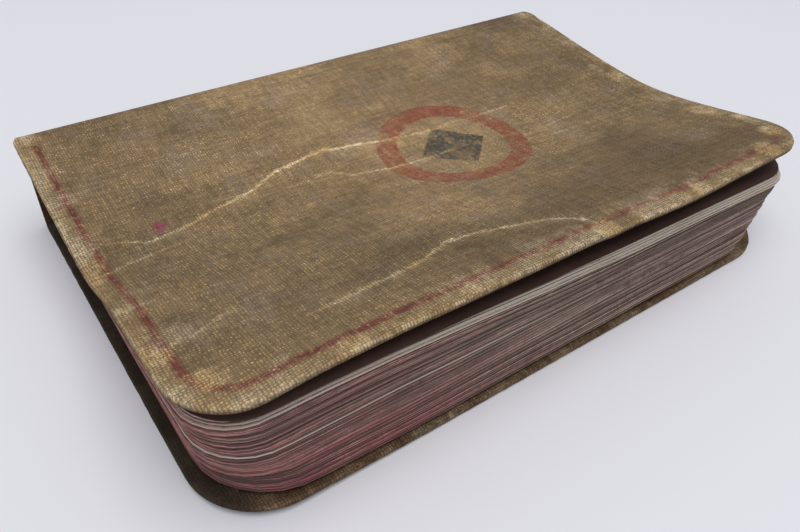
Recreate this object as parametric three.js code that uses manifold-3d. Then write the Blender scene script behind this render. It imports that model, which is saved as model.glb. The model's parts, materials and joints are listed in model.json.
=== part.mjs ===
// A limp cloth-bound pocket notebook lying on its back cover, in millimetres.
// X runs from the spine to the fore edge, Y from the tail to the head, and Z up.
// The origin is the centre of the underside.
import * as THREE from "three";
import { mergeVertices } from "three/addons/utils/BufferGeometryUtils.js";
import Module from "manifold-3d";

const wasm = await Module();
wasm.setup();

// Overall sizes.
const bookWidth = 72; // spine to fore edge, over the covers
const bookHeight = 110; // tail to head, over the covers
const spineHeight = 17.6; // over both covers, at the spine
const blockDip = 3; // how far the leaves sink across their middle
const coverLift = 4.6; // how far the front cover's fore edge springs up

// Covers.
const clothThickness = 0.3;
const boardThickness = 0.6;
const pastedownThickness = 0.2;
const turnInWidth = 3; // cloth that shows around a pastedown
const coverCornerRadius = 8;
const jointWidth = 4; // bare cloth between the spine and each board

// Leaves.
const squareWidth = 1.2; // how far the covers stand past the leaves
const leafCornerRadius = 7;
const flyleafThickness = 0.25;
const sectionCount = 8; // sewn gatherings of folded sheets

// Layers on the back of the folds, from the folds outwards.
const threadThickness = 0.3;
const mullThickness = 0.15;
const liningThickness = 0.25;
const tapeWidth = 8;
const tapeSpacing = 42; // between the centres of the two tapes
const kettleWidth = 1.4;
const kettleInset = 9; // from the end of the leaves to a kettle stitch
const liningInset = 3; // from the end of the covers to the lining

// Clearances and the fineness of curves.
const faceGap = 0.05;
const bendSteps = 18;
const arcSteps = 6;
const cutMargin = 5; // how far a cutting shape runs past what it cuts

const coverThickness = 2 * (clothThickness + faceGap) + boardThickness;
const spineFace = -bookWidth / 2;
const coverStart = spineFace + jointWidth;
const liningFace = spineFace + clothThickness + faceGap;
const mullFace = liningFace + liningThickness + faceGap;
const threadFace = mullFace + mullThickness + faceGap;
const foldFace = threadFace + threadThickness + faceGap;
const leafLength = bookHeight - 2 * squareWidth;
const leafForeEdge = bookWidth / 2 - squareWidth;
const blockBase = coverThickness + flyleafThickness + 2 * faceGap;
const blockHeight = spineHeight - 2 * blockBase;

// How far a surface at x sags below its height at the spine.
function sag(x) {
  const across = (2 * x) / bookWidth;
  return blockDip * (1 - across ** 2) ** 2;
}

// The outer face of the front cover.
function coverTop(x) {
  const across = Math.max(0, (2 * x) / bookWidth);
  return spineHeight - sag(x) + coverLift * across ** 1.5;
}

// The height in the block of leaves, from share 0 at its foot to share 1 at its top.
function blockLevel(share, x) {
  return blockBase + share * (blockHeight - sag(x));
}

function solidOf(geometry) {
  geometry.deleteAttribute("normal");
  geometry.deleteAttribute("uv");
  const merged = mergeVertices(geometry, 1e-4);
  return new wasm.Manifold(
    new wasm.Mesh({
      numProp: 3,
      vertProperties: merged.attributes.position.array,
      triVerts: new Uint32Array(merged.index.array),
    }),
  );
}

function geometryOf(solid) {
  const mesh = solid.getMesh();
  const geometry = new THREE.BufferGeometry();
  const positions = new THREE.BufferAttribute(mesh.vertProperties, 3);
  geometry.setAttribute("position", positions);
  geometry.setIndex(new THREE.BufferAttribute(mesh.triVerts, 1));
  const flat = geometry.toNonIndexed();
  flat.computeVertexNormals();
  return flat;
}

// A profile in X and Z, extruded along Y about the middle of the book.
function alongBook(points, length) {
  const shape = new THREE.Shape(points);
  const geometry = new THREE.ExtrudeGeometry(shape, { depth: length, bevelEnabled: false });
  geometry.translate(0, 0, -length / 2);
  geometry.rotateX(Math.PI / 2);
  return geometry;
}

function stationsFrom(start) {
  const end = bookWidth / 2 + cutMargin;
  return Array.from({ length: bendSteps + 1 }, (_, i) => start + ((end - start) * i) / bendSteps);
}

// A sheet that lies between two heights, both functions of x, wider than the book.
function sheetSolid(lower, upper) {
  const stations = stationsFrom(spineFace - cutMargin);
  const under = stations.map((x) => new THREE.Vector2(x, lower(x)));
  const over = stations.map((x) => new THREE.Vector2(x, upper(x))).reverse();
  return solidOf(alongBook([...under, ...over], bookHeight + 2 * cutMargin));
}

// A gathering: the same, with a round fold at its spine side.
function gatheringSolid(lower, upper) {
  const half = (upper(foldFace) - lower(foldFace)) / 2;
  const middle = (upper(foldFace) + lower(foldFace)) / 2;
  const stations = stationsFrom(foldFace + half);
  const fold = Array.from({ length: arcSteps - 1 }, (_, i) => {
    const turn = (Math.PI * (i + 1)) / arcSteps;
    return new THREE.Vector2(foldFace + half * (1 - Math.sin(turn)), middle + half * Math.cos(turn));
  });
  const under = stations.map((x) => new THREE.Vector2(x, lower(x)));
  const over = stations.map((x) => new THREE.Vector2(x, upper(x))).reverse();
  return solidOf(alongBook([...under, ...over, ...fold], bookHeight + 2 * cutMargin));
}

// An upright prism whose outline is square at the spine side and round at the fore-edge corners.
function outlineSolid(start, foreEdge, length, radius) {
  const round = Math.max(radius, faceGap);
  const side = length / 2;
  const shape = new THREE.Shape();
  shape.moveTo(start, -side);
  shape.lineTo(foreEdge - round, -side);
  shape.absarc(foreEdge - round, round - side, round, -Math.PI / 2, 0, false);
  shape.absarc(foreEdge - round, side - round, round, 0, Math.PI / 2, false);
  shape.lineTo(start, side);
  shape.closePath();
  const geometry = new THREE.ExtrudeGeometry(shape, {
    depth: spineHeight + coverLift + 2 * cutMargin,
    bevelEnabled: false,
    curveSegments: arcSteps,
  });
  geometry.translate(0, 0, -cutMargin);
  return solidOf(geometry);
}

// The outline of a cover, drawn in from its edges; the spine side starts at the given x.
function coverOutline(inset, start) {
  const length = bookHeight - 2 * inset;
  return outlineSolid(start, bookWidth / 2 - inset, length, coverCornerRadius - inset);
}

// The outline of the leaves, from the given x at the spine side.
function leafOutline(start) {
  return outlineSolid(start, leafForeEdge, leafLength, leafCornerRadius);
}

const colours = {
  cloth: "#6d6148",
  board: "#8a7a5c",
  endpaper: "#5a3a36",
  leaf: "#b9ab8c",
  tape: "#cdbf9c",
  thread: "#d8cdb0",
  mull: "#c9bda0",
  lining: "#9a8b6a",
};

const book = new THREE.Group();

function addPiece(name, geometry, colour, roughness) {
  const material = new THREE.MeshStandardMaterial({ color: colours[colour], roughness, metalness: 0 });
  const mesh = new THREE.Mesh(geometry, material);
  mesh.name = name;
  book.add(mesh);
}

// One cover, built from its outer face inwards: cloth turned in over a board, and a pastedown
// in the opening that the turned-in cloth leaves. Inward is 1 for the back cover and -1 for
// the front one, whose layers run downwards.
function addCover(side, outerFace, inward) {
  const layer = (from, to) => {
    const near = (x) => outerFace(x) + inward * from;
    const far = (x) => outerFace(x) + inward * to;
    return inward > 0 ? sheetSolid(near, far) : sheetSolid(far, near);
  };
  const pocketDepth = clothThickness + boardThickness + 2 * faceGap;
  const pastCover = coverStart - cutMargin;

  const pocket = layer(clothThickness, pocketDepth).intersect(coverOutline(clothThickness, pastCover));
  const windowCut = layer(clothThickness, coverThickness + cutMargin);
  const window = windowCut.intersect(coverOutline(turnInWidth, pastCover));
  const folded = layer(0, coverThickness).intersect(coverOutline(0, coverStart));
  addPiece(`${side}_cover_cloth`, geometryOf(folded.subtract(pocket).subtract(window)), "cloth", 0.95);

  const boardLayer = layer(clothThickness + faceGap, clothThickness + faceGap + boardThickness);
  const board = boardLayer.intersect(coverOutline(clothThickness + faceGap, coverStart));
  addPiece(`${side}_board`, geometryOf(board), "board", 0.9);

  const pastedownLayer = layer(pocketDepth, pocketDepth + pastedownThickness);
  const pastedown = pastedownLayer.intersect(coverOutline(turnInWidth + faceGap, coverStart));
  addPiece(`${side}_pastedown`, geometryOf(pastedown), "endpaper", 0.85);
}

// A loose endpaper, which rests on the given level.
function addFlyleaf(name, level) {
  const sheet = sheetSolid(level, (x) => level(x) + flyleafThickness);
  addPiece(name, geometryOf(sheet.intersect(leafOutline(foldFace))), "leaf", 0.9);
}

function addSection(index) {
  const lower = (x) => blockLevel(index / sectionCount, x) + faceGap / 2;
  const upper = (x) => blockLevel((index + 1) / sectionCount, x) - faceGap / 2;
  const number = String(sectionCount - index).padStart(2, "0");
  const gathering = gatheringSolid(lower, upper).intersect(leafOutline(foldFace - cutMargin));
  addPiece(`section_${number}`, geometryOf(gathering), "leaf", 0.9);
}

// A flat strip on the back of the folds.
function addSpineStrip(name, face, thickness, width, centre, colour) {
  const tall = blockHeight - 2 * faceGap;
  const geometry = new THREE.BoxGeometry(thickness, width, tall);
  geometry.translate(face + thickness / 2, centre, blockBase + blockHeight / 2);
  addPiece(name, geometry, colour, 0.9);
}

// The cloth of the spine: it wraps round both joints and meets the two covers.
function addSpineCloth() {
  const reach = coverStart - faceGap;
  const inner = spineFace + clothThickness;
  const outerCorner = (turn, z) => {
    const x = inner - clothThickness * Math.cos(turn);
    return new THREE.Vector2(x, z + clothThickness * Math.sin(turn));
  };
  const turns = Array.from({ length: arcSteps + 1 }, (_, i) => (Math.PI / 2) * (i / arcSteps));
  const topZ = coverTop(inner) - clothThickness;
  const points = [
    new THREE.Vector2(reach, clothThickness),
    new THREE.Vector2(inner, clothThickness),
    new THREE.Vector2(inner, topZ),
    new THREE.Vector2(reach, coverTop(reach) - clothThickness),
    new THREE.Vector2(reach, coverTop(reach)),
    ...turns.map((turn) => outerCorner(turn, topZ)).reverse(),
    ...turns.map((turn) => outerCorner(-turn, clothThickness)),
    new THREE.Vector2(reach, 0),
  ];
  addPiece("spine_cloth", alongBook(points, bookHeight), "cloth", 0.95);
}

addCover("back", () => 0, 1);
addCover("front", coverTop, -1);
addFlyleaf("back_flyleaf", () => coverThickness + faceGap);
addFlyleaf("front_flyleaf", (x) => blockLevel(1, x) + faceGap);
for (let index = 0; index < sectionCount; index++) {
  addSection(index);
}
for (const [end, way] of [["tail", -1], ["head", 1]]) {
  const kettleCentre = way * (leafLength / 2 - kettleInset);
  addSpineStrip(`kettle_stitch_${end}`, threadFace, threadThickness, kettleWidth, kettleCentre, "thread");
  addSpineStrip(`sewing_tape_${end}`, threadFace, threadThickness, tapeWidth, (way * tapeSpacing) / 2, "tape");
}
addSpineStrip("mull", mullFace, mullThickness, leafLength - 2 * liningInset, 0, "mull");
addSpineStrip("spine_lining", liningFace, liningThickness, bookHeight - 2 * liningInset, 0, "lining");
addSpineCloth();

export default book;
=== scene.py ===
import json
import math

import bmesh
import bpy
import numpy as np
from mathutils import Matrix, Vector


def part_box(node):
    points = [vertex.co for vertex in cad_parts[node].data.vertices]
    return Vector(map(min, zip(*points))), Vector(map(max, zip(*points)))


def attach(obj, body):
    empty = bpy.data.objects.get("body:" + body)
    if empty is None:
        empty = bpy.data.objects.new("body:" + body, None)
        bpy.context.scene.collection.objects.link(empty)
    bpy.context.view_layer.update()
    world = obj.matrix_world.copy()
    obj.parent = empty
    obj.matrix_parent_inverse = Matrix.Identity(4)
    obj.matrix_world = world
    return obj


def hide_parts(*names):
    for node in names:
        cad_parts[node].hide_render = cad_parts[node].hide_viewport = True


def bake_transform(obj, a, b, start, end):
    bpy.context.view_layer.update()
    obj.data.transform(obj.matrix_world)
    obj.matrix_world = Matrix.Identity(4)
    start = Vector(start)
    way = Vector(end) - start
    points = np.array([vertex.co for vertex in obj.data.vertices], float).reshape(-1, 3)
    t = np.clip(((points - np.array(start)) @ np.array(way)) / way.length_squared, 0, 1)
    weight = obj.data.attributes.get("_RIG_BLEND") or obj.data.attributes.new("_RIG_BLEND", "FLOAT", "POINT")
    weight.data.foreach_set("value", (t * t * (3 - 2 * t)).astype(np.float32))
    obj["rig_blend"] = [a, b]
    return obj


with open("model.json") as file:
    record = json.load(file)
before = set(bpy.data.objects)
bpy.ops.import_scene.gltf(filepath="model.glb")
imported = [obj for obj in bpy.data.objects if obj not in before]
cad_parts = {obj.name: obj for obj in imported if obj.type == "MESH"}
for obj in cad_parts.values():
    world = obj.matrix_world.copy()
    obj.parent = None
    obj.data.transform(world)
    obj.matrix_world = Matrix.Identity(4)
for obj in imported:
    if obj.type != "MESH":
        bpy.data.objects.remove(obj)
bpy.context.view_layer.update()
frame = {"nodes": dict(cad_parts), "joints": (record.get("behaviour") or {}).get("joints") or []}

mm = 0.001
rng = np.random.default_rng(1917)

# places taken from the frame, so that the pieces follow the part's own sizes
coverLow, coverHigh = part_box("front_cover_cloth")
spineLow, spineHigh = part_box("spine_cloth")
leafLow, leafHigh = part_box("section_01")
coverStart = coverLow.x
foreEdge = coverHigh.x
halfHeight = coverHigh.y
spineFace = spineLow.x
spineTop = spineHigh.z
foldFace = leafLow.x
leafForeEdge = leafHigh.x
leafHalf = leafHigh.y
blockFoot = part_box("section_08")[0].z
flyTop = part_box("front_flyleaf")[1].z
sectionCount = len([name for name in frame["nodes"] if name.startswith("section_")])
hingeHeight = {j["child"]: j["pos_m"][2] for j in frame["joints"]}
blockTop = hingeHeight["front_flyleaf"]


cameraView = {"target": (5.93 * mm, -8.28 * mm, 0.0), "distance": 122.08 * mm, "azimuth": 52.70,
              "elevation": 40.27, "roll": 3.257, "lens": 32.71}


def makeCamera(view):
    az, el, roll = (math.radians(view[key]) for key in ("azimuth", "elevation", "roll"))
    back = Vector((math.sin(az) * math.cos(el), -math.cos(az) * math.cos(el), math.sin(el)))
    right = (-back).cross(Vector((0, 0, 1))).normalized()
    up = right.cross(-back)
    tiltedRight = right * math.cos(roll) + up * math.sin(roll)
    tiltedUp = up * math.cos(roll) - right * math.sin(roll)
    data = bpy.data.cameras.new("camera")
    data.lens = view["lens"]
    data.sensor_width = 36
    data.clip_start = 0.005
    data.clip_end = 20
    camera = bpy.data.objects.new("camera", data)
    turn = Matrix((tiltedRight, tiltedUp, back)).transposed()
    camera.matrix_world = Matrix.Translation(Vector(view["target"]) + back * view["distance"]) @ turn.to_4x4()
    bpy.context.scene.collection.objects.link(camera)
    bpy.context.scene.camera = camera


makeCamera(cameraView)
print("camera placed")


lie = {"dipTail": 3.0 * mm, "dipHead": 2.6 * mm, "liftTail": 4.0 * mm, "liftHead": 2.7 * mm,
       "riseStart": (-0.10, -0.05), "riseEnd": (0.40, 1.05), "spineDrop": 0.15 * mm,
       "leafLiftTail": 1.7 * mm, "leafLiftHead": -1.3 * mm, "cornerCurl": 1.1 * mm,
       # how far the fore edges of the leaves and of the front cover turn up: (y, height) in mm
       "leafTurn": [(-54, 0.8), (-48, 1.0), (-40, 1.35), (-30, 1.45), (-18, 1.1), (-6, 0.5), (10, 0)],
       "foreTurn": [(-52, 0), (-47, 0.3), (-42, 1.2), (-34, 1.4), (-28, 1.65), (-23, 1.3), (-17, 1.3), (-10, 1.2),
                    (-3, 1.35), (4.5, 1.5), (12, 0.85), (20, 0.45), (33, 0.45), (42, 0.1), (55, 0)]}

# creases of the front cover: places (y, x) in mm along the book, depth and wear
creases = [
    {"name": "creaseSpine", "depth": 0.14, "wear": 1.0,
     "path": [(-55, -8), (-45, -3.2), (-39, -3.9), (-35, -5.3), (-28, -6.8), (-22.7, -9.4), (-17, -10.4),
              (-13, -10.8), (-8.7, -9.8), (-1, -8.1), (6.5, -7), (20, -7.1), (27, -6.7), (34, -6)],
     "strength": [(-55, 0.35), (-45, 0.75), (-30, 1), (-9, 1), (5, 0.6), (12, 0.12), (20, 0.4), (34, 0)]},
    {"name": "creaseMiddle", "depth": 0.08, "wear": 0.7,
     "path": [(-24, -4.7), (-15, -5.1), (-12, -2.4), (-8.7, -1.9), (-4.4, -0.7), (5, -0.2), (9, -0.3),
              (20, 2.9), (24, 2.3), (33, 1.8)],
     "strength": [(-24, 0), (-20, 0.6), (-5, 0.8), (5, 0.5), (10, 0), (19, 0), (22, 0.45), (33, 0)]},
    {"name": "creaseFore", "depth": 0.16, "wear": 1.0,
     "path": [(-40, 27.2), (-33, 26.8), (-25, 26.4), (-20, 25.9), (-14.8, 24.1), (-9.6, 24.9), (-5, 26.3),
              (-0.5, 27.9), (2.2, 29.9), (3.6, 32.4), (4.4, 36.5)],
     "strength": [(-40, 0), (-34, 0.5), (-22, 0.9), (-15, 1), (-5, 0.85), (4.4, 1), (5.2, 0)]},
    {"name": "creaseTail", "depth": 0.05, "wear": 0.6,
     "path": [(-55, -8.6), (-52, -7.5), (-49, -6.4), (-46.5, -5.7)],
     "strength": [(-55, 0.6), (-50, 0.8), (-46.5, 0), (-40, 0)]},
    {"name": "creaseBorder", "depth": 0.06, "wear": 0.8,
     "path": [(-55, 1.6), (-51, 0.8), (-47, 0), (-44, -0.4), (-41, -0.9)],
     "strength": [(-55, 1), (-51, 0.9), (-46, 0.7), (-41, 0.1), (-38, 0)]},
    {"name": "creaseCorner", "depth": 0.07, "wear": 0.8,
     "path": [(-55, 23.3), (-52, 22.9), (-49, 22.6), (-42, 20)],
     "strength": [(-55, 0.8), (-52, 1), (-48, 0.5), (-42, 0.3), (-38, 0)]},
    {"name": "creaseHead", "depth": 0.05, "wear": 0.5,
     "path": [(17, 4.5), (25, 5.5), (35, 5.9), (48.5, 6.2), (51, 13)],
     "strength": [(14, 0), (20, 0.4), (34, 0.5), (48, 0.4), (52, 0)]},
]

# places worn through to pale thread: (x, y, radius) in mm
scuffs = [(-6.5, -54.6, 2.2), (-1.5, -54.2, 2.6), (3, -54.8, 1.8), (14, -55, 2.2), (23.5, -54, 2.6),
          (30, -50.5, 2.2), (35.4, -36, 2.6), (35.5, -20, 2.2), (34.8, 3.6, 2.8), (35, 24, 2.2), (33, 44, 3),
          (29, 51.5, 2.6), (15.5, 52.3, 3), (22, 53.6, 2), (-4.5, 52.6, 2.6), (-33.5, 53.2, 2.4), (-34.5, -53.5, 2.2)]


def smooth(t):
    t = np.clip(t, 0, 1)
    return t * t * (3 - 2 * t)


def mixed(a, b, share):
    return a + (b - a) * share


def headShare(y):
    return np.clip((y + halfHeight) / (2 * halfHeight), 0, 1)


def sag(x, y):
    across = x / foreEdge
    return mixed(lie["dipTail"], lie["dipHead"], headShare(y)) * (1 - np.clip(across * across, 0, 1)) ** 2


def creaseOffset(crease, x, y):
    ys = np.array([p[0] for p in crease["path"]]) * mm
    xs = np.array([p[1] for p in crease["path"]]) * mm
    step = 0.4 * mm
    centre = np.interp(y, ys, xs)
    slope = (np.interp(y + step, ys, xs) - np.interp(y - step, ys, xs)) / (2 * step)
    return (x - centre) / np.sqrt(1 + slope * slope)


def creaseStrength(crease, y):
    ys = np.array([p[0] for p in crease["strength"]]) * mm
    return np.interp(y, ys, [p[1] for p in crease["strength"]])


def undulation(x, y, seed, size, waves=7):
    draw = np.random.default_rng(seed)
    total = np.zeros_like(x)
    for _ in range(waves):
        angle, phase = draw.uniform(0, math.tau, 2)
        length = draw.uniform(0.7, 1.9) * size
        total += np.sin((x * math.cos(angle) + y * math.sin(angle)) * math.tau / length + phase)
    return total / waves


def cornerCurl(x, y):
    return lie["cornerCurl"] * smooth((x / foreEdge - 0.3) / 0.75) * smooth((-y / halfHeight - 0.35) / 0.7)


def foreTurn(x, y):
    ys, heights = np.array(lie["foreTurn"]).T * mm
    spread = sum(np.interp(y + step * mm, ys, heights) for step in (-4, -2, 0, 2, 4)) / 5
    return spread * smooth((x - 24 * mm) / (13 * mm))


def coverFace(x, y):
    share = headShare(y)
    across = x / foreEdge
    start = mixed(lie["riseStart"][0], lie["riseStart"][1], share)
    end = mixed(lie["riseEnd"][0], lie["riseEnd"][1], share)
    rise = mixed(lie["liftTail"], lie["liftHead"], share) * smooth((across - start) / (end - start))
    level = spineTop - sag(x, y) + rise + foreTurn(x, y)
    free = smooth((x - coverStart) / (12 * mm))
    level += free * 0.16 * mm * undulation(x, y, 5, 26 * mm)
    for crease in creases:
        away = np.abs(creaseOffset(crease, x, y)) / mm
        level -= free * creaseStrength(crease, y) * crease["depth"] * mm * np.exp(-(away / 0.8) ** 1.5)
    notch = np.exp(-((y - 4.4 * mm) / (3.2 * mm)) ** 2) * smooth((x - 27 * mm) / (9 * mm))
    return level - 0.3 * mm * notch


def backFace(x, y):
    return cornerCurl(x, y)


def leafTopLevel(x, y):
    lift = mixed(lie["leafLiftTail"], lie["leafLiftHead"], headShare(y))
    ys, heights = np.array(lie["leafTurn"]).T * mm
    turn = np.interp(y, ys, heights)
    return blockTop - sag(x, y) + (lift + turn) * smooth(x / foreEdge)


def leafLevel(share, x, y):
    foot = blockFoot + cornerCurl(x, y)
    return mixed(foot, leafTopLevel(x, y), share)


def headSetBack(y, shape):
    return shape.get("setBack", 0) * smooth((y / halfHeight - 0.35) / 0.6)


def outlinePlace(u, w, inset, shape):
    corner = shape["cornerShare"]
    radius = np.maximum(shape["radius"] - inset, 0.4 * mm)
    turn = np.clip(np.minimum(w, 1 - w) / corner, 0, 1) * np.pi / 2
    tail = shape["tail"] + inset
    head = shape["head"] - inset
    bend = radius * (1 - np.cos(turn))
    straight = np.clip((w - corner) / (1 - 2 * corner), 0, 1)
    middle = tail + radius + straight * (head - tail - 2 * radius)
    y = np.where(w < corner, tail + bend, np.where(w > 1 - corner, head - bend, middle))
    far = shape["end"] - inset - radius * (1 - np.sin(turn)) - headSetBack(y, shape)
    near = shape["start"] + shape["spineInset"] * inset
    return near + u * (far - near), y


def edgeDistance(x, y, shape):
    x = x + headSetBack(y, shape) * smooth(x / foreEdge)
    toEnd = np.minimum(y - shape["tail"], shape["head"] - y)
    dx = shape["end"] - shape["radius"] - x
    dy = toEnd - shape["radius"]
    flat = np.minimum(shape["end"] - x, toEnd)
    return np.where((dx < 0) & (dy < 0), shape["radius"] - np.hypot(dx, dy), flat)


coverShapes = {
    "front": {"start": coverStart, "end": foreEdge, "tail": -halfHeight, "head": halfHeight, "radius": 8.6 * mm,
              "cornerShare": 0.1, "spineInset": 0.25, "setBack": 1.3 * mm},
    # the back cover's corners are worn rounder, and its ends stand back a little from the front cover's
    "back": {"start": coverStart, "end": foreEdge, "tail": -54.1 * mm, "head": 53.2 * mm, "radius": 10.5 * mm,
             "cornerShare": 0.12, "spineInset": 0.25}}


def newGrid(across, along):
    bm = bmesh.new()
    bmesh.ops.create_grid(bm, x_segments=across, y_segments=along, size=1.0)
    u = bm.verts.layers.float.new("u")
    w = bm.verts.layers.float.new("w")
    for v in bm.verts:
        v[u] = (v.co.x + 1) / 2
        v[w] = (v.co.y + 1) / 2
    return bm


def readLayer(bm, name):
    layer = bm.verts.layers.float[name]
    return np.array([v[layer] for v in bm.verts])


def writeLayer(bm, name, values):
    layer = bm.verts.layers.float.get(name) or bm.verts.layers.float.new(name)
    for v, value in zip(bm.verts, np.broadcast_to(values, len(bm.verts))):
        v[layer] = float(value)


def writePlaces(bm, x, y, z):
    for v, a, b, c in zip(bm.verts, x, y, z):
        v.co = (a, b, c)


def finishMesh(bm, name, materials, smoothShade=True):
    for scratch in ("u", "w", "inset", "depth"):
        layer = bm.verts.layers.float.get(scratch)
        if layer:
            bm.verts.layers.float.remove(layer)
    bmesh.ops.recalc_face_normals(bm, faces=bm.faces)
    for face in bm.faces:
        face.smooth = smoothShade
    mesh = bpy.data.meshes.new(name)
    bm.to_mesh(mesh)
    bm.free()
    for material in materials:
        mesh.materials.append(material)
    piece = bpy.data.objects.new(name, mesh)
    bpy.context.scene.collection.objects.link(piece)
    return piece


def scuffMask(x, y):
    total = np.zeros_like(x)
    for placeX, placeY, radius in scuffs:
        total += np.exp(-((x / mm - placeX) ** 2 + (y / mm - placeY) ** 2) / radius ** 2)
    return np.clip(total, 0, 1)


def addCoverMasks(bm, x, y, shape):
    writeLayer(bm, "edge", edgeDistance(x, y, shape) / mm)
    writeLayer(bm, "scuff", scuffMask(x, y))
    for crease in creases:
        writeLayer(bm, crease["name"], creaseOffset(crease, x, y) / mm)
        writeLayer(bm, crease["name"] + "Wear", creaseStrength(crease, y) * crease["wear"])


cover = {"across": 78, "along": 124, "cloth": 0.25 * mm, "boardGap": 0.03 * mm, "thickness": 0.88 * mm,
         "turnIn": 9 * mm, "pastedownInset": 3.0 * mm, "pastedown": 0.10 * mm,
         "roundings": [(0.12, 0.09), (0.0, 0.30), (0.0, 0.76), (0.12, 0.97), (0.35, 1.05)]}


def makeCoverCloth(name, shape, face, inward, material):
    bm = newGrid(cover["across"], cover["along"])
    inset = bm.verts.layers.float.new("inset")
    depth = bm.verts.layers.float.new("depth")
    for v in bm.verts:
        v[inset] = 0.35 * mm
    rim = [e for e in bm.edges if e.is_boundary]
    steps = [(a * mm, b * mm) for a, b in cover["roundings"]]
    steps += [(cover["turnIn"] * share, cover["thickness"]) for share in (0.25, 0.5, 0.75, 1.0)]
    for ringInset, ringDepth in steps:
        made = bmesh.ops.extrude_edge_only(bm, edges=rim)["geom"]
        rim = [g for g in made if isinstance(g, bmesh.types.BMEdge) and g.is_boundary]
        for v in (g for g in made if isinstance(g, bmesh.types.BMVert)):
            v[inset] = ringInset
            v[depth] = ringDepth
    x, y = outlinePlace(readLayer(bm, "u"), readLayer(bm, "w"), readLayer(bm, "inset"), shape)
    fray = 0.05 * mm * undulation(x, y, 11, 1.7 * mm) * (readLayer(bm, "inset") < 0.2 * mm)
    writePlaces(bm, x + fray, y + fray, face(x, y) + inward * readLayer(bm, "depth"))
    addCoverMasks(bm, x, y, shape)
    writeLayer(bm, "inner", smooth(readLayer(bm, "depth") / (0.9 * mm)))
    if inward > 0:
        bmesh.ops.reverse_faces(bm, faces=bm.faces)
    bm.normal_update()
    bmesh.ops.solidify(bm, geom=bm.faces[:], thickness=cover["cloth"])
    return finishMesh(bm, name, [material])


def makeSlab(name, shape, across, along, inset, low, high, material, extra=None):
    # a thin closed slab between two surfaces, both functions of x and y
    bm = newGrid(across, along)
    made = bmesh.ops.extrude_face_region(bm, geom=bm.faces[:])["geom"]
    raised = {g for g in made if isinstance(g, bmesh.types.BMVert)}
    x, y = outlinePlace(readLayer(bm, "u"), readLayer(bm, "w"), inset, shape)
    isTop = np.array([v in raised for v in bm.verts])
    writePlaces(bm, x, y, np.where(isTop, high(x, y), low(x, y)))
    if extra:
        extra(bm, x, y)
    return finishMesh(bm, name, [material])


def makeCover(side, face, inward, clothMaterial, paperMaterial):
    body = side + "_cover"
    shape = coverShapes[side]
    cloth = makeCoverCloth(side + "CoverCloth", shape, face, inward, clothMaterial)
    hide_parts(side + "_cover_cloth")

    def layer(depth):
        return lambda x, y: face(x, y) + inward * depth

    def pastedownDepth(x, y):
        # the paper steps over the end of the turned-in cloth
        under = smooth((edgeDistance(x, y, shape) - cover["turnIn"]) / (0.6 * mm))
        return cover["thickness"] + 0.04 * mm - under * 0.17 * mm

    def pastedownLayer(extra):
        return lambda x, y: face(x, y) + inward * (pastedownDepth(x, y) + extra)

    boardTop = cover["cloth"] + cover["boardGap"]
    boardEnd = cover["thickness"] - cover["cloth"] - cover["boardGap"]
    board = makeSlab(side + "Board", shape, 40, 64, boardTop + 0.1 * mm,
                     layer(boardTop), layer(boardEnd), boardMaterial)
    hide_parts(side + "_board")
    paper = makeSlab(side + "Pastedown", shape, 64, 100, cover["pastedownInset"],
                     pastedownLayer(0), pastedownLayer(cover["pastedown"]), paperMaterial)
    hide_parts(side + "_pastedown")
    for piece in (cloth, board, paper):
        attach(piece, body)


leaves = {"sheets": 9, "thickness": 0.062 * mm, "across": 15, "foldSteps": 8, "along": 44,
          "radiusFoot": 11.5 * mm, "radiusTop": 7.6 * mm, "tailFoot": -52.3 * mm, "tailTop": -53.9 * mm,
          "headFoot": 50.9 * mm, "headTop": 53.5 * mm, "foreFoot": 35.3 * mm, "foreTop": 35.0 * mm,
          "jitter": 0.16 * mm, "sectionJitter": 0.2 * mm, "topInset": -0.6 * mm, "fan": 1.0 * mm,
          "unstained": (86, 135, 137, 138, 140, 142, 143)}
leafCount = sectionCount * leaves["sheets"] * 2
gapSize = rng.pareto(1.1, leafCount).clip(0, 6) * 0.8
gapSize[-9:] = (1.8, 0.6, 2.6, 1.0, 2.2, 1.2, 1.8, 2.4, 1.8)
gapSize[leaves["unstained"][0]] = 1.1
gapPlace = rng.uniform(-1.1, 1.1, leafCount) * halfHeight
gapWidth = rng.uniform(0.25, 1.1, leafCount) * halfHeight


def leafShare(number, x, y):
    # where a leaf lies in the block, from 0 to 1: towards the fore edge a few leaves stand apart
    reach = (y[:, None] - gapPlace) / gapWidth
    extra = gapSize * np.exp(-reach * reach)
    below = extra[:, :number].sum(1)
    loose = (number + 0.5 + below) / (leafCount + extra.sum(1))
    return mixed((number + 0.5) / leafCount, loose, smooth((x / leafForeEdge + 0.15) / 1.05))


def leafShape(share):
    # the block leans: its upper leaves reach further towards the tail, the head and the fore edge
    return {"start": foldFace, "end": mixed(leaves["foreFoot"], leaves["foreTop"], share),
            "tail": mixed(leaves["tailFoot"], leaves["tailTop"], share),
            "head": mixed(leaves["headFoot"], leaves["headTop"], share ** 1.3),
            "radius": mixed(leaves["radiusFoot"], leaves["radiusTop"], min(1, share * 1.6)),
            "cornerShare": 0.15, "spineInset": 0}


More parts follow.
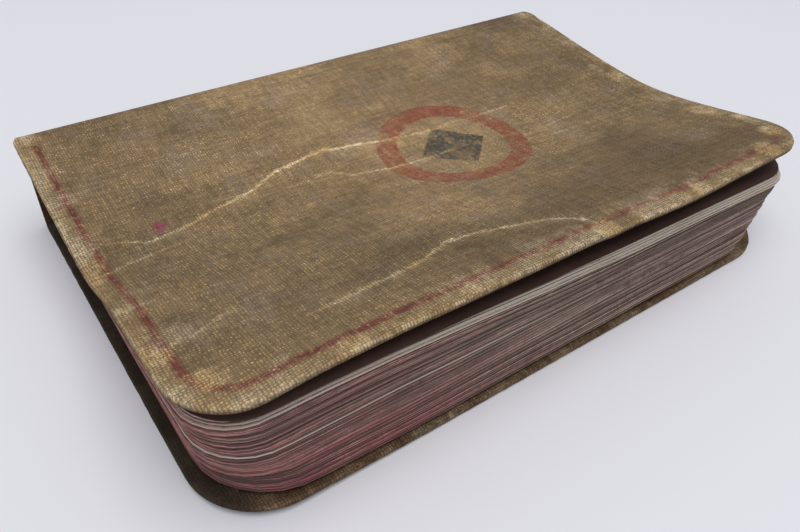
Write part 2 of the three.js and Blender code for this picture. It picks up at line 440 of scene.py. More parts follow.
def makeSection(number, material):
    # number counts up from the foot; the sheets are folded one inside the other
    sheets = leaves["sheets"]
    joined = bmesh.new()
    for name in ("trim", "rise", "tint"):
        joined.verts.layers.float.new(name)
    scratchMesh = bpy.data.meshes.new("sheetScratch")
    across = 2 * leaves["across"] + leaves["foldSteps"]
    first = number * sheets * 2
    sectionWander = rng.uniform(-1, 1, 3) * leaves["sectionJitter"]
    for sheet in range(sheets):
        bm = newGrid(across, leaves["along"])
        u = readLayer(bm, "u") * across
        w = readLayer(bm, "w")
        lowLeaf = first + sheet
        highLeaf = first + 2 * sheets - 1 - sheet
        upper = u > across / 2
        out = 1 - np.clip(np.where(upper, across - u, u) / leaves["across"], 0, 1)   # 1 at the fore edge
        wander = rng.uniform(-1, 1, 4) * leaves["jitter"]
        bendRadius = 0.92 * (sheets - sheet) * (blockTop - blockFoot) / leafCount
        start = foldFace + bendRadius + (sheet + 0.5) * 0.01 * mm
        shape = {**leafShape((first + sheets) / leafCount), "start": start}
        inset = np.where(upper, wander[0], wander[1]) + sectionWander[0] + 0.1 * mm
        inset = np.where(upper & (highLeaf == leaves["unstained"][0]), 0, inset)
        # the top leaves are fanned back, one behind the other
        if number == sectionCount - 1:
            step = (highLeaf - first - sheets + 1) / sheets
            inset = np.where(upper, leaves["topInset"] * w ** 0.7 + step * leaves["fan"] + 0.5 * wander[0], inset)
        x, y = outlinePlace(out, w, inset, shape)
        y = y + sectionWander[1] + np.where(upper, wander[2], wander[3])
        x = x + out * 0.12 * mm * undulation(y, y, 300 + number, 33 * mm)
        lowZ = leafLevel(leafShare(lowLeaf, x, y), x, y)
        highZ = leafLevel(leafShare(highLeaf, x, y), x, y)
        turn = np.clip((u - leaves["across"]) / leaves["foldSteps"], 0, 1) * np.pi
        middle = (lowZ + highZ) / 2
        half = (highZ - lowZ) / 2
        folded = (turn > 0) & (turn < np.pi)
        z = np.where(folded, middle - half * np.cos(turn), np.where(upper, highZ, lowZ))
        x = np.where(folded, x - bendRadius * np.sin(turn), x)
        writePlaces(bm, x, y, z)
        writeLayer(bm, "trim", np.clip((edgeDistance(x, y, shape) - inset) / mm, 0, 40))
        writeLayer(bm, "rise", np.where(upper, highLeaf, lowLeaf) / leafCount)
        tints = [1.0 if leaf in leaves["unstained"] else 0.9 * rng.uniform() for leaf in (lowLeaf, highLeaf)]
        writeLayer(bm, "tint", np.where(upper, tints[1], tints[0]))
        bm.normal_update()
        bmesh.ops.solidify(bm, geom=bm.faces[:], thickness=leaves["thickness"])
        bmesh.ops.recalc_face_normals(bm, faces=bm.faces)
        bm.to_mesh(scratchMesh)
        bm.free()
        joined.from_mesh(scratchMesh)
    bpy.data.meshes.remove(scratchMesh)
    nodeName = f"section_{sectionCount - number:02d}"
    piece = finishMesh(joined, f"section{sectionCount - number:02d}Sheets", [material])
    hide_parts(nodeName)
    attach(piece, nodeName)


flyleaf = {"thickness": 0.12 * mm, "setBack": 0.8 * mm,
           "front": {"tail": -53.7 * mm, "head": 53.6 * mm, "end": 35.3 * mm, "radius": 7.7 * mm},
           "back": {"tail": -52.4 * mm, "head": 51.2 * mm, "end": 34.7 * mm, "radius": 11 * mm}}


def makeFlyleaf(side, level, material):
    shape = {"start": foldFace + 0.1 * mm, "cornerShare": 0.12, "spineInset": 0, **flyleaf[side]}
    setBack = flyleaf["setBack"] if side == "front" else 0
    piece = makeSlab(side + "Flyleaf", shape, 40, 64, 0.05 * mm, level,
                     lambda x, y: level(x, y) + flyleaf["thickness"], material)
    # its fore edge stands back from the leaves towards the head
    for v in piece.data.vertices:
        v.co.x -= float(setBack * smooth(v.co.y / halfHeight + 0.7) * smooth(v.co.x / foreEdge))
    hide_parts(side + "_flyleaf")
    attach(piece, side + "_flyleaf")


spine = {"corner": 0.7 * mm, "wear": 1.0 * mm, "cloth": 0.3 * mm, "steps": 5, "along": 56}
chain = ["back_cover", "back_flyleaf"]
chain += [f"section_{number:02d}" for number in range(sectionCount, 0, -1)]
chain += ["front_flyleaf", "front_cover"]


def bodyMiddle(body):
    # the height at which the strips follow this body alone
    if body == "back_cover":
        return hingeHeight["back_flyleaf"] - 0.6 * mm
    if body == "front_cover":
        return spineTop
    if body == "front_flyleaf":
        return blockTop + 0.15 * mm
    above = chain[chain.index(body) + 1]
    return (hingeHeight[body] + hingeHeight[above]) / 2


def stripAlong(profile, halfLength, along):
    # a closed strip: a profile of (x, z) points, carried along the book
    bm = bmesh.new()
    tail = [bm.verts.new((x, -halfLength, z)) for x, z in profile]
    face = bm.faces.new(tail)
    made = bmesh.ops.extrude_face_region(bm, geom=[face])["geom"]
    moved = [g for g in made if isinstance(g, bmesh.types.BMVert)]
    bmesh.ops.translate(bm, verts=moved, vec=(0, 2 * halfLength, 0))
    for i in range(1, along):
        cut = -halfLength + 2 * halfLength * i / along
        bmesh.ops.bisect_plane(bm, geom=bm.verts[:] + bm.edges[:] + bm.faces[:], dist=1e-7,
                               plane_co=(0, cut, 0), plane_no=(0, 1, 0))
    return bm


def spineStrips(base, nodes, outer, thickness, halfLength, centre, material, masks=None):
    # one strip for each joint of the chain, between the middles of its two bodies
    for below, above in zip(chain[:-1], chain[1:]):
        if above == "front_cover" and base == "spineCloth":
            continue
        low = bodyMiddle(below)
        high = min(bodyMiddle(above), blockTop + 0.3 * mm) if above == "front_cover" else bodyMiddle(above)
        levels = np.linspace(low, high, spine["steps"] + 1)
        profile = [(outer, z) for z in levels] + [(outer + thickness, z) for z in levels[::-1]]
        bm = stripAlong(profile, halfLength, spine["along"])
        bmesh.ops.translate(bm, verts=bm.verts, vec=(0, centre, 0))
        if masks:
            masks(bm)
        piece = finishMesh(bm, f"{base}_{above}", [material], smoothShade=False)
        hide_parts(*nodes)
        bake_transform(piece, below, above, start=(outer, 0, low), end=(outer, 0, bodyMiddle(above)))


def addStripMasks(bm, inner=None):
    x = np.array([v.co.x for v in bm.verts])
    y = np.array([v.co.y for v in bm.verts])
    if inner is None:
        inner = np.clip((x - spineFace) / spine["cloth"], 0, 1)
    writeLayer(bm, "edge", (halfHeight - np.abs(y)) / mm)
    writeLayer(bm, "inner", inner)
    writeLayer(bm, "scuff", scuffMask(x, y))
    for crease in creases:
        writeLayer(bm, crease["name"], 20.0)
        writeLayer(bm, crease["name"] + "Wear", 0.0)


def makeJointCloth(side, face, inward, material):
    # the cloth from the spine's corner to the board, which follows the lie of the cover
    reach = coverStart + 0.06 * mm
    corner = spine["corner"]
    turns = np.linspace(0, math.pi / 2, 7)
    endLevel = bodyMiddle("front_flyleaf") if side == "front" else bodyMiddle("back_cover")
    across = np.linspace(spineFace + corner, reach, 12)[1:]
    bm = newGrid(len(across) + 7 + 3, spine["along"])
    u = np.rint(readLayer(bm, "u") * (len(across) + 10)).astype(int)
    w = readLayer(bm, "w")
    wear = (spine["wear"] if side == "front" else 0.1 * mm) * (1 - smooth((u - 6) / 9))
    y = mixed(coverShapes[side]["tail"] + wear, coverShapes[side]["head"] - wear, w)
    edgeLevel = face(np.full(len(y), spineFace + corner), y)
    # steps: up the spine's face, round its corner, and over to the board
    x = np.zeros(len(y))
    z = np.zeros(len(y))
    for i in range(len(x)):
        step = u[i]
        if step < 4:
            x[i] = spineFace
            z[i] = mixed(endLevel, edgeLevel[i] + inward * corner, step / 4)
        elif step < 11:
            turn = turns[step - 4]
            x[i] = spineFace + corner * (1 - math.cos(turn))
            z[i] = edgeLevel[i] + inward * corner * (1 - math.sin(turn))
        else:
            x[i] = across[step - 11]
            z[i] = 0
    flat = u >= 11
    z[flat] = face(x[flat], y[flat])
    writePlaces(bm, x, y, z)
    if inward > 0:
        bmesh.ops.reverse_faces(bm, faces=bm.faces)
    bm.normal_update()
    bmesh.ops.solidify(bm, geom=bm.faces[:], thickness=spine["cloth"])
    places = np.array([v.co[:] for v in bm.verts])
    outer = face(places[:, 0], places[:, 1]) + inward * 0.5 * spine["cloth"]
    within = (inward * (places[:, 2] - outer) > 0) & (places[:, 0] > spineFace + 0.15 * mm)
    addStripMasks(bm, within.astype(float))
    piece = finishMesh(bm, side + "JointCloth", [material])
    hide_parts("spine_cloth")
    if side == "front":
        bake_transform(piece, "front_flyleaf", "front_cover", start=(spineFace, 0, endLevel),
                 end=(spineFace + 1.6 * mm, 0, spineTop))
    else:
        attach(piece, "back_cover")


# the folded paper between the pastedown and the flyleaf; bend is the share of it that folds
endpaperJoint = {"reach": 3.2 * mm, "thickness": 0.08 * mm, "along": 40, "bend": {"front": 0.3, "back": 1}}


def makeEndpaperJoint(side, material):
    reach = coverStart + endpaperJoint["reach"]
    if side == "front":
        places = ((foldFace + 0.15 * mm, blockTop + 0.12 * mm), (reach, flyTop + 0.10 * mm))
        bodies = ("front_flyleaf", "front_cover")
    else:
        places = ((reach, blockFoot - 0.5 * mm), (foldFace + 0.15 * mm, blockFoot - 0.2 * mm))
        bodies = ("back_cover", "back_flyleaf")
    (x0, z0), (x1, z1) = places
    xs = np.linspace(x0, x1, 33)
    zs = np.interp(xs, sorted((x0, x1)), [z0, z1] if x0 < x1 else [z1, z0])
    upper = zs + endpaperJoint["thickness"]
    profile = [*zip(xs, zs), *zip(xs[::-1], upper[::-1])]
    bm = stripAlong(profile, -flyleaf[side]["tail"] - 0.5 * mm, endpaperJoint["along"])
    piece = finishMesh(bm, side + "EndpaperJoint", [material])
    bend = mixed(np.array((x0, 0, z0)), np.array((x1, 0, z1)), endpaperJoint["bend"][side])
    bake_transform(piece, *bodies, start=(x0, 0, z0), end=tuple(map(float, bend)))


# the threads run behind the folds; margin is the bare part of the fold beyond each kettle stitch
sewing = {"radius": 0.11 * mm, "margin": 9 * mm, "steps": 60, "sides": 8}


def makeSewingThreads(material):
    radius = sewing["radius"]
    reach = leafHalf - sewing["margin"]
    steps = sewing["steps"]
    for number in range(sectionCount):
        body = f"section_{sectionCount - number:02d}"
        level = bodyMiddle(body)
        bm = bmesh.new()
        bmesh.ops.create_circle(bm, cap_ends=True, segments=sewing["sides"], radius=radius)
        bmesh.ops.rotate(bm, verts=bm.verts, cent=(0, 0, 0), matrix=Matrix.Rotation(math.pi / 2, 3, "X"))
        bmesh.ops.translate(bm, verts=bm.verts, vec=(foldFace - 1.3 * radius, -reach, level))
        last = bm.faces[:]
        for i in range(steps):
            made = bmesh.ops.extrude_face_region(bm, geom=last)["geom"]
            if i:
                bmesh.ops.delete(bm, geom=last, context="FACES_ONLY")
            last = [g for g in made if isinstance(g, bmesh.types.BMFace)]
            moved = [g for g in made if isinstance(g, bmesh.types.BMVert)]
            bmesh.ops.translate(bm, verts=moved, vec=(0, 2 * reach / steps, 0))
        piece = finishMesh(bm, f"sewingThread{sectionCount - number:02d}", [material])
        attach(piece, body)


def addNode(tree, kind, **values):
    node = tree.nodes.new(kind)
    for key, value in values.items():
        setattr(node, key, value)
    return node


def feed(tree, socket, value):
    if isinstance(value, bpy.types.NodeSocket):
        tree.links.new(value, socket)
    else:
        socket.default_value = value


def calc(tree, operation, a, b=0.0, c=0.0, clamp=False):
    node = addNode(tree, "ShaderNodeMath", operation=operation, use_clamp=clamp)
    for socket, value in zip(node.inputs, (a, b, c)):
        feed(tree, socket, value)
    return node.outputs[0]


def ramp(tree, value, low, high, to=(0.0, 1.0)):
    node = addNode(tree, "ShaderNodeMapRange", interpolation_type="SMOOTHSTEP")
    for socket, entry in zip(node.inputs, (value, low, high, *to)):
        feed(tree, socket, entry)
    return node.outputs[0]


def blendColour(tree, share, a, b, kind="MIX"):
    node = addNode(tree, "ShaderNodeMix", data_type="RGBA", blend_type=kind)
    feed(tree, node.inputs[0], share)
    feed(tree, node.inputs[6], a if isinstance(a, bpy.types.NodeSocket) else (*a, 1))
    feed(tree, node.inputs[7], b if isinstance(b, bpy.types.NodeSocket) else (*b, 1))
    return node.outputs[2]


def noiseValue(tree, vector, scale, detail=3.0, roughness=0.55, stretch=None):
    if stretch:
        mapping = addNode(tree, "ShaderNodeMapping")
        feed(tree, mapping.inputs[0], vector)
        mapping.inputs["Scale"].default_value = stretch
        vector = mapping.outputs[0]
    node = addNode(tree, "ShaderNodeTexNoise")
    feed(tree, node.inputs["Vector"], vector)
    node.inputs["Scale"].default_value = scale
    node.inputs["Detail"].default_value = detail
    node.inputs["Roughness"].default_value = roughness
    return node.outputs["Fac"]


def attributeValue(tree, name):
    return addNode(tree, "ShaderNodeAttribute", attribute_name=name).outputs["Fac"]


def newGroup(name, inputs, outputs):
    group = bpy.data.node_groups.new(name, "ShaderNodeTree")
    for label, kind, value in inputs:
        socket = group.interface.new_socket(label, in_out="INPUT", socket_type=kind)
        if value is not None:
            socket.default_value = value
    for label, kind in outputs:
        group.interface.new_socket(label, in_out="OUTPUT", socket_type=kind)
    return group, addNode(group, "NodeGroupInput"), addNode(group, "NodeGroupOutput")


def useGroup(tree, group, **values):
    node = addNode(tree, "ShaderNodeGroup", node_tree=group)
    for label, value in values.items():
        feed(tree, node.inputs[label], value)
    return node.outputs


def bookMillimetres(tree):
    # Object coordinates in millimetres
    mapping = addNode(tree, "ShaderNodeMapping")
    tree.links.new(addNode(tree, "ShaderNodeTexCoord").outputs["Object"], mapping.inputs[0])
    mapping.inputs["Scale"].default_value = (1000, 1000, 1000)
    return mapping.outputs[0]


def makeWeave():
    group, source, result = newGroup("clothWeave",
        [("Vector", "NodeSocketVector", None), ("Pitch", "NodeSocketFloat", 0.6),
         ("Slub", "NodeSocketFloat", 0.1)],
        [("Height", "NodeSocketFloat"), ("Crest", "NodeSocketFloat"), ("Yarn", "NodeSocketFloat")])
    wobble = addNode(group, "ShaderNodeTexNoise")
    group.links.new(source.outputs["Vector"], wobble.inputs["Vector"])
    wobble.inputs["Scale"].default_value = 0.9
    centred = addNode(group, "ShaderNodeVectorMath", operation="SUBTRACT")
    group.links.new(wobble.outputs["Color"], centred.inputs[0])
    centred.inputs[1].default_value = (0.5, 0.5, 0.5)
    shift = addNode(group, "ShaderNodeVectorMath", operation="SCALE")
    group.links.new(centred.outputs[0], shift.inputs[0])
    group.links.new(source.outputs["Slub"], shift.inputs["Scale"])
    moved = addNode(group, "ShaderNodeVectorMath", operation="ADD")
    group.links.new(source.outputs["Vector"], moved.inputs[0])
    group.links.new(shift.outputs[0], moved.inputs[1])
    parts = addNode(group, "ShaderNodeSeparateXYZ")
    group.links.new(moved.outputs[0], parts.inputs[0])
    turn = calc(group, "DIVIDE", math.pi, source.outputs["Pitch"])
    upright = calc(group, "ADD", parts.outputs[0], parts.outputs[2])
    warp = calc(group, "SINE", calc(group, "MULTIPLY", upright, turn))
    weft = calc(group, "SINE", calc(group, "MULTIPLY", parts.outputs[1], turn))
    side = ramp(group, calc(group, "MULTIPLY", warp, weft), -0.2, 0.2)
    warpHigh = calc(group, "MULTIPLY", calc(group, "ABSOLUTE", warp),
                    calc(group, "MULTIPLY_ADD", calc(group, "ABSOLUTE", weft), 0.5, 0.5))
    weftHigh = calc(group, "MULTIPLY", calc(group, "ABSOLUTE", weft),
                    calc(group, "MULTIPLY_ADD", calc(group, "ABSOLUTE", warp), 0.5, 0.5))
    height = calc(group, "ADD", calc(group, "MULTIPLY", warpHigh, side),
                  calc(group, "MULTIPLY", weftHigh, calc(group, "SUBTRACT", 1.0, side)))
    along = noiseValue(group, moved.outputs[0], 1.0, 1.0, stretch=(1.7, 0.25, 1.7))
    across = noiseValue(group, moved.outputs[0], 1.0, 1.0, stretch=(0.25, 1.7, 0.25))
    yarn = calc(group, "ADD", calc(group, "MULTIPLY", along, side),
                calc(group, "MULTIPLY", across, calc(group, "SUBTRACT", 1.0, side)))
    group.links.new(height, result.inputs["Height"])
    group.links.new(ramp(group, height, 0.5, 0.95), result.inputs["Crest"])
    group.links.new(yarn, result.inputs["Yarn"])
    return group


def makeBand():
    # a soft-sided band of a distance: 1 within half the width of the centre
    group, source, result = newGroup("softBand",
        [("Distance", "NodeSocketFloat", 0.0), ("Centre", "NodeSocketFloat", 0.0),
         ("Width", "NodeSocketFloat", 1.0), ("Softness", "NodeSocketFloat", 0.2)], [("Mask", "NodeSocketFloat")])
    distance, centre, width, softness = source.outputs[:4]
    away = calc(group, "ABSOLUTE", calc(group, "SUBTRACT", distance, centre))
    inside = calc(group, "SUBTRACT", calc(group, "MULTIPLY", width, 0.5), away)
    mask = ramp(group, inside, calc(group, "MULTIPLY", softness, -1.0), softness)
    group.links.new(mask, result.inputs["Mask"])
    return group


def makeMottle():
    # slow stains and quick specks, both about 0.5
    group, source, result = newGroup("mottle",
        [("Vector", "NodeSocketVector", None)], [("Stain", "NodeSocketFloat"), ("Speck", "NodeSocketFloat")])
    group.links.new(noiseValue(group, source.outputs["Vector"], 0.075, 5.0, 0.62), result.inputs["Stain"])
    group.links.new(noiseValue(group, source.outputs["Vector"], 1.35, 3.0, 0.7), result.inputs["Speck"])
    return group


weaveGroup = makeWeave()
bandGroup = makeBand()
mottleGroup = makeMottle()


def startMaterial(name, roughness):
    material = bpy.data.materials.new(name)
    material.use_nodes = True
    shader = material.node_tree.nodes["Principled BSDF"]
    shader.inputs["Roughness"].default_value = roughness
    shader.inputs["Specular IOR Level"].default_value = 0.25
    return material, material.node_tree, shader


def addBump(tree, shader, height, distance, strength=1.0):
    bump = addNode(tree, "ShaderNodeBump")
    bump.inputs["Strength"].default_value = strength
    bump.inputs["Distance"].default_value = distance
    tree.links.new(height, bump.inputs["Height"])
    tree.links.new(bump.outputs[0], shader.inputs["Normal"])


# colours are linear; places and sizes are in mm
clothLook = {"pitch": 0.41, "deep": (0.078, 0.050, 0.026), "khaki": (0.262, 0.176, 0.092),
             "olive": (0.165, 0.116, 0.060), "grey": (0.232, 0.170, 0.120), "gold": (0.54, 0.36, 0.165),
             "pale": (0.70, 0.55, 0.34), "maroon": (0.150, 0.026, 0.026), "brick": (0.175, 0.036, 0.022),
             "slate": (0.040, 0.038, 0.032), "pink": (0.26, 0.03, 0.08), "soil": (0.25, 0.20, 0.19),
             "tailDirt": (0.018, 0.012, 0.008), "borderInset": 2.7, "borderWidth": 1.0, "emblemPlace": (-1.0, 7.0),
             "emblemRadius": 11.4, "emblemRing": 3.6, "emblemCore": 6.6, "spotPlace": (-5.4, -42.9)}


def clothMaterial(name, printed, soiledAndShaded):
    look = clothLook
    material, tree, shader = startMaterial(name, 0.92)
    place = bookMillimetres(tree)
    parts = addNode(tree, "ShaderNodeSeparateXYZ")
    tree.links.new(place, parts.inputs[0])
    weave = useGroup(tree, weaveGroup, Vector=place, Pitch=look["pitch"], Slub=0.55)
    mottle = useGroup(tree, mottleGroup, Vector=place)
    second = noiseValue(tree, place, 0.16, 4.0, 0.6)
    broken = noiseValue(tree, place, 0.55, 4.0, 0.7)
    faint = ramp(tree, mottle["Stain"], 0.36, 0.66, (0.1, 0.8))
    ground = blendColour(tree, faint, look["khaki"], look["olive"])
    ground = blendColour(tree, ramp(tree, second, 0.47, 0.72, (0, 0.7)), ground, look["grey"])
    # painted shade: the weave's grooves darkened towards the deep colour
    ground = blendColour(tree, ramp(tree, weave["Height"], 0.60, 0.15, (0, 0.38)), ground, look["deep"])
    drift = noiseValue(tree, place, 0.05, 5.0, 0.66, stretch=(1.0, 0.55, 1.0))
    ground = blendColour(tree, ramp(tree, drift, 0.56, 0.40, (0, 0.42)), ground, look["deep"])
    # partly worn thread, partly painted highlight: gold specks on the weave's crests
    glint = calc(tree, "MULTIPLY", weave["Crest"], ramp(tree, mottle["Speck"], 0.47, 0.62))
    golden = ramp(tree, calc(tree, "MULTIPLY_ADD", broken, 0.5, drift), 0.66, 0.90, (0.25, 1.0))
    ground = blendColour(tree, calc(tree, "MULTIPLY", glint, golden), ground, look["gold"])
    edge = attributeValue(tree, "edge")
    if printed:
        border = useGroup(tree, bandGroup, Distance=edge, Centre=look["borderInset"],
                          Width=look["borderWidth"], Softness=0.34)["Mask"]
        border = calc(tree, "MULTIPLY", border, ramp(tree, broken, 0.28, 0.55, (0.58, 0.85)))
        border = calc(tree, "MULTIPLY", border, ramp(tree, parts.outputs[1], 52.0, 45.0, (0.12, 1.0)))
        border = calc(tree, "MULTIPLY", border, ramp(tree, mottle["Speck"], 0.66, 0.5, (0.35, 1.0)))
        ground = blendColour(tree, border, ground, look["maroon"])

        def awayFrom(centre):
            gap = addNode(tree, "ShaderNodeVectorMath", operation="DISTANCE")
            flat = addNode(tree, "ShaderNodeCombineXYZ")
            tree.links.new(parts.outputs[0], flat.inputs[0])
            tree.links.new(parts.outputs[1], flat.inputs[1])
            tree.links.new(flat.outputs[0], gap.inputs[0])
            gap.inputs[1].default_value = (*centre, 0)
            return gap.outputs["Value"]

        faded = ramp(tree, noiseValue(tree, place, 0.35, 5.0, 0.72), 0.34, 0.58, (0.35, 1.0))
        faded = calc(tree, "MULTIPLY", faded, ramp(tree, mottle["Speck"], 0.7, 0.5, (0.55, 1.0)))
        ring = useGroup(tree, bandGroup, Distance=awayFrom(look["emblemPlace"]), Centre=look["emblemRadius"],
                        Width=look["emblemRing"], Softness=0.14)["Mask"]
        ring = calc(tree, "MULTIPLY", calc(tree, "MULTIPLY", ring, faded), 0.72)
        ground = blendColour(tree, ring, ground, look["brick"])
        sideways = calc(tree, "ABSOLUTE", calc(tree, "SUBTRACT", parts.outputs[0], look["emblemPlace"][0]))
        upward = calc(tree, "ABSOLUTE", calc(tree, "SUBTRACT", parts.outputs[1], look["emblemPlace"][1]))
        core = look["emblemCore"]
        lozenge = ramp(tree, calc(tree, "ADD", sideways, upward), core + 0.15, core - 0.15)
        lozenge = calc(tree, "MULTIPLY", calc(tree, "MULTIPLY", lozenge, faded), 0.9)
        ground = blendColour(tree, lozenge, ground, look["slate"])
        spot = calc(tree, "ADD", awayFrom(look["spotPlace"]), calc(tree, "MULTIPLY", broken, 2.4))
        spot = ramp(tree, spot, 2.7, 1.4)
        ground = blendColour(tree, calc(tree, "MULTIPLY", spot, 0.7), ground, look["pink"])
    # wear: pale broken threads along the edges and the creases
    rough = noiseValue(tree, place, 1.1, 4.0, 0.75)
    patch = noiseValue(tree, place, 0.16, 4.0, 0.68)
    worn = ramp(tree, calc(tree, "ADD", edge, calc(tree, "MULTIPLY", patch, -5.0)), -0.7, -2.9, (0, 0.85))
    scuffed = ramp(tree, calc(tree, "ADD", edge, calc(tree, "MULTIPLY", patch, -17.0)), -3.0, -9.0, (0, 0.5))
    wear = calc(tree, "MAXIMUM", worn, scuffed)
    rubbed = ramp(tree, calc(tree, "MULTIPLY_ADD", rough, 0.7, attributeValue(tree, "scuff")), 0.62, 1.15)
    wear = calc(tree, "MAXIMUM", wear, rubbed)
    if printed:
        for crease in creases:
            away = calc(tree, "ADD", attributeValue(tree, crease["name"]),
                        calc(tree, "MULTIPLY_ADD", rough, 1.7, -0.85))
            line = useGroup(tree, bandGroup, Distance=away, Centre=0.0, Width=0.5, Softness=0.34)["Mask"]
            halo = useGroup(tree, bandGroup, Distance=away, Centre=0.5, Width=2.0, Softness=1.4)["Mask"]
            halo = calc(tree, "MULTIPLY", halo, 0.30)
            both = calc(tree, "MAXIMUM", calc(tree, "MULTIPLY", line, 1.5), halo)
            both = calc(tree, "MULTIPLY", both, ramp(tree, broken, 0.34, 0.54, (0.4, 1.0)))
            both = calc(tree, "MULTIPLY", both, attributeValue(tree, crease["name"] + "Wear"))
            wear = calc(tree, "MAXIMUM", wear, both)
    threads = ramp(tree, calc(tree, "MULTIPLY_ADD", weave["Crest"], 0.35, mottle["Speck"]), 0.42, 0.82)
    wear = calc(tree, "MULTIPLY", wear, calc(tree, "MULTIPLY_ADD", threads, 0.8, 0.2), clamp=True)
    bare = blendColour(tree, ramp(tree, second, 0.4, 0.6), look["gold"], look["pale"])
    ground = blendColour(tree, wear, ground, bare)
    # painted highlight: the middle and the spine side are made lighter, as if lit from the spine side
    reach = addNode(tree, "ShaderNodeVectorMath", operation="DISTANCE")
    tree.links.new(place, reach.inputs[0])
    reach.inputs[1].default_value = (-16, 0, 17)
    paintedSheen = ramp(tree, reach.outputs["Value"], 50.0, 16.0, (0.90, 1.46))
    tone = calc(tree, "MULTIPLY", ramp(tree, weave["Yarn"], 0.3, 0.7, (0.76, 1.22)), paintedSheen)
    shade = addNode(tree, "ShaderNodeCombineColor")
    for socket in shade.inputs:
        tree.links.new(tone, socket)
    ground = blendColour(tree, 1.0, ground, shade.outputs[0], "MULTIPLY")
    # partly soil, partly painted shade: the cloth multiplied by a dark colour
    grimeAndShade = blendColour(tree, 1.0, ground, look["soil"], "MULTIPLY")
    if soiledAndShaded:
        # partly soil, partly painted shade: the back cover's cloth darkened all over in patches
        ground = blendColour(tree, ramp(tree, second, 0.3, 0.7, (1.0, 0.75)), ground, grimeAndShade)
        # painted shade: the back cover's cloth turns nearly black towards the tail, where the tail side lies in shade
        tail = ramp(tree, parts.outputs[1], -47.0, -51.5, (0, 0.85))
        ground = blendColour(tree, tail, ground, look["tailDirt"])
    else:
        # partly soil, partly painted shade: the turned-in inner side of the cloth darkened where it lies under the
        # cover
        ground = blendColour(tree, attributeValue(tree, "inner"), ground, grimeAndShade)
    tree.links.new(ground, shader.inputs["Base Color"])
    fuzz = calc(tree, "MULTIPLY_ADD", mottle["Speck"], 0.5, weave["Height"])
    addBump(tree, shader, fuzz, 0.07 * mm, 0.8)
    return material


paperLook = {"cream": (0.60, 0.54, 0.45), "grey": (0.29, 0.215, 0.175), "maroon": (0.27, 0.062, 0.074),
             "rose": (0.40, 0.17, 0.165), "foxing": (0.36, 0.24, 0.14), "dusk": (0.085, 0.038, 0.034)}


def leafMaterial():
    look = paperLook
    material, tree, shader = startMaterial("agedLeaves", 0.85)
    place = bookMillimetres(tree)
    parts = addNode(tree, "ShaderNodeSeparateXYZ")
    tree.links.new(place, parts.inputs[0])
    trim = attributeValue(tree, "trim")
    rise = attributeValue(tree, "rise")
    tint = attributeValue(tree, "tint")
    fibre = noiseValue(tree, place, 0.9, 4.0, 0.6)
    blotch = noiseValue(tree, place, 0.09, 4.0, 0.6)
    face = blendColour(tree, ramp(tree, blotch, 0.5, 0.75, (0, 0.35)), look["cream"], look["foxing"])
    # the trimmed edge: a stain that is pinkest near the foot and the tail, greyer towards the top
    streak = noiseValue(tree, place, 1.0, 3.0, 0.65, stretch=(0.06, 0.045, 2.2))
    fine = noiseValue(tree, place, 1.0, 2.0, 0.5, stretch=(0.15, 0.10, 7.0))
    tail = ramp(tree, parts.outputs[1], 12.0, -46.0)
    low = ramp(tree, rise, 0.7, 0.05)
    pink = calc(tree, "MULTIPLY_ADD", tail, 0.72, calc(tree, "MULTIPLY_ADD", low, 0.40, -0.34))
    pink = calc(tree, "ADD", pink, calc(tree, "MULTIPLY_ADD", streak, 1.6, -0.8), clamp=True)
    stain = blendColour(tree, pink, look["grey"], look["maroon"])
    rosy = calc(tree, "MULTIPLY", ramp(tree, fine, 0.5, 0.72, (0, 0.6)), tail)
    stain = blendColour(tree, rosy, stain, look["rose"])
    value = ramp(tree, tint, 0.0, 0.9, (0.55, 1.5))
    value = calc(tree, "MULTIPLY", value, ramp(tree, fine, 0.3, 0.65, (0.72, 1.25)))
    shade = addNode(tree, "ShaderNodeCombineColor")
    for socket in shade.inputs:
        tree.links.new(value, socket)
    stain = blendColour(tree, 1.0, stain, shade.outputs[0], "MULTIPLY")
    # painted shade: the leaf faces near the trimmed edge are darkened, standing in for the shade in the gaps between
    # the leaves
    gapShadeShare = ramp(tree, calc(tree, "MULTIPLY_ADD", fibre, 1.6, trim), 3.0, 1.2, (0, 0.92))
    lasting = calc(tree, "MAXIMUM", ramp(tree, rise, 0.84, 0.90), ramp(tree, parts.outputs[1], 12.0, -18.0))
    unstained = calc(tree, "MULTIPLY", ramp(tree, tint, 0.93, 0.97), lasting)
    gapShadeShare = calc(tree, "MULTIPLY", gapShadeShare, calc(tree, "MULTIPLY_ADD", unstained, -0.95, 1.0))
    colour = blendColour(tree, gapShadeShare, face, look["dusk"])
    edge = ramp(tree, calc(tree, "MULTIPLY_ADD", fibre, 0.3, trim), 0.32, 0.16)
    edge = calc(tree, "MULTIPLY", edge, calc(tree, "MULTIPLY_ADD", unstained, -0.9, 1.0))
    colour = blendColour(tree, edge, colour, stain)
    tree.links.new(colour, shader.inputs["Base Color"])
    addBump(tree, shader, fibre, 0.02 * mm, 0.5)
    return material


def paperMaterial(name, base, second, scale, roughness=0.85):
    material, tree, shader = startMaterial(name, roughness)
    place = bookMillimetres(tree)
    fibre = noiseValue(tree, place, 1.2, 5.0, 0.65)
    blotch = noiseValue(tree, place, scale, 4.0, 0.6)
    colour = blendColour(tree, ramp(tree, blotch, 0.35, 0.7), base, second)
    colour = blendColour(tree, ramp(tree, fibre, 0.55, 0.8, (0, 0.25)), colour, tuple(c * 1.5 for c in base))
    tree.links.new(colour, shader.inputs["Base Color"])
    addBump(tree, shader, fibre, 0.03 * mm, 0.6)
    return material


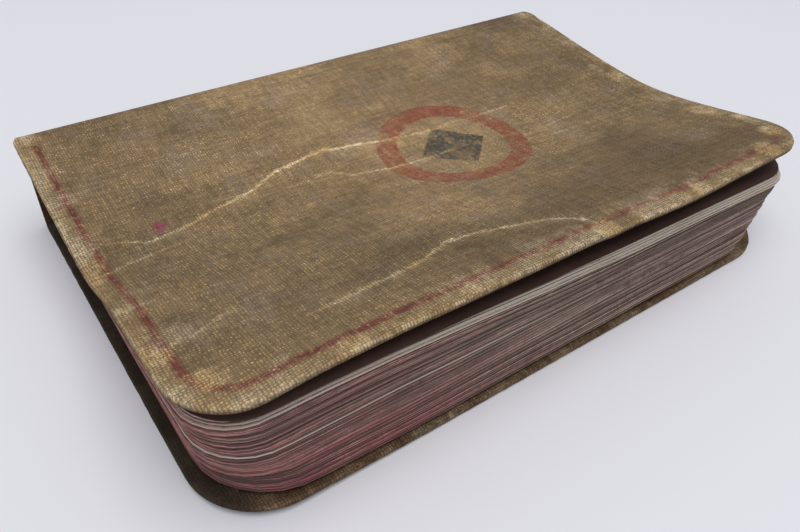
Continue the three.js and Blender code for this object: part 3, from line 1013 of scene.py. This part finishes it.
def wovenMaterial(name, base, dark, pitch, depth):
    material, tree, shader = startMaterial(name, 0.9)
    place = bookMillimetres(tree)
    weave = useGroup(tree, weaveGroup, Vector=place, Pitch=pitch, Slub=0.1)
    # painted shade: darker in the hollows between the threads
    colour = blendColour(tree, ramp(tree, weave["Height"], 0.15, 0.7), dark, base)
    mottle = useGroup(tree, mottleGroup, Vector=place)
    colour = blendColour(tree, ramp(tree, mottle["Stain"], 0.4, 0.7, (0, 0.3)), colour, dark)
    tree.links.new(colour, shader.inputs["Base Color"])
    addBump(tree, shader, weave["Height"], depth, 0.8)
    return material


frontCloth = clothMaterial("printedBookCloth", True, False)
backCloth = clothMaterial("soiledBookCloth", False, True)
plainCloth = clothMaterial("plainBookCloth", False, False)
agedLeaves = leafMaterial()
endpaper = paperMaterial("darkEndpaper", (0.052, 0.025, 0.019), (0.075, 0.037, 0.028), 0.12)
boardMaterial = paperMaterial("millboard", (0.24, 0.19, 0.13), (0.17, 0.13, 0.09), 0.5, 0.95)
kraft = paperMaterial("kraftLining", (0.30, 0.22, 0.13), (0.22, 0.16, 0.10), 0.2)
gauze = wovenMaterial("starchedGauze", (0.58, 0.51, 0.38), (0.20, 0.15, 0.10), 0.9, 0.08 * mm)
linenTape = wovenMaterial("linenTape", (0.60, 0.53, 0.40), (0.30, 0.24, 0.16), 0.35, 0.06 * mm)
linenThread = wovenMaterial("linenThread", (0.66, 0.60, 0.47), (0.36, 0.30, 0.21), 0.18, 0.03 * mm)
print("materials made")

makeCover("back", backFace, 1, backCloth, endpaper)
makeCover("front", coverFace, -1, frontCloth, endpaper)
print("covers made")

for sectionNumber in range(sectionCount):
    makeSection(sectionNumber, agedLeaves)
makeFlyleaf("back", lambda x, y: backFace(x, y) + hingeHeight["back_flyleaf"], endpaper)
makeFlyleaf("front", lambda x, y: leafTopLevel(x, y) + 0.05 * mm, endpaper)
print("leaves made")

spineStrips("spineCloth", ["spine_cloth"], spineFace, spine["cloth"], halfHeight - spine["wear"], 0,
            plainCloth, addStripMasks)
makeJointCloth("back", backFace, 1, backCloth)
makeJointCloth("front", coverFace, -1, plainCloth)
for stripName, node, slotName, material in (
        ("spineLining", "spine_lining", "lining_paper", kraft), ("mull", "mull", "mull", gauze),
        ("tapeTail", "sewing_tape_tail", "tape", linenTape), ("tapeHead", "sewing_tape_head", "tape", linenTape),
        ("kettleTail", "kettle_stitch_tail", "thread", linenThread),
        ("kettleHead", "kettle_stitch_head", "thread", linenThread)):
    low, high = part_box(node)
    spineStrips(stripName, [node], low.x, high.x - low.x, (high.y - low.y) / 2, (high.y + low.y) / 2, material)
makeEndpaperJoint("front", endpaper)
makeEndpaperJoint("back", endpaper)
makeSewingThreads(linenThread)
print("spine made")


# a plain pale floor under a soft key light; colours are linear
studio = {"floor": (0.77, 0.765, 0.81), "sky": (0.92, 0.95, 1.0), "skyStrength": 0.52,
          "keyLight": {"place": (0.15, -0.05, 0.78), "size": 0.6, "energy": 3.55, "color": (1.0, 0.985, 0.965)},
          "fillLight": {"place": (0.30, -0.30, 0.40), "size": 0.5, "energy": 0.3, "color": (0.93, 0.96, 1.0)}}


def makeStudio():
    bm = bmesh.new()
    bmesh.ops.create_grid(bm, x_segments=1, y_segments=1, size=3.0)
    bmesh.ops.translate(bm, verts=bm.verts, vec=(0, 0, -0.05 * mm))
    material, tree, shader = startMaterial("paleFloor", 0.9)
    shader.inputs["Base Color"].default_value = (*studio["floor"], 1)
    floor = finishMesh(bm, "floor", [material])
    world = bpy.data.worlds.new("studio")
    bpy.context.scene.world = world
    world.use_nodes = True
    background = world.node_tree.nodes["Background"]
    background.inputs[0].default_value = (*studio["sky"], 1)
    background.inputs[1].default_value = studio["skyStrength"]
    for name in ("keyLight", "fillLight"):
        values = studio[name]
        data = bpy.data.lights.new(name, "AREA")
        data.size = values["size"]
        data.energy = values["energy"]
        data.color = values["color"]
        light = bpy.data.objects.new(name, data)
        light.location = values["place"]
        light.rotation_euler = (-Vector(values["place"])).to_track_quat("-Z", "Y").to_euler()
        bpy.context.scene.collection.objects.link(light)
    bpy.context.scene.view_settings.view_transform = "Standard"


makeStudio()
print("floor and lights made")
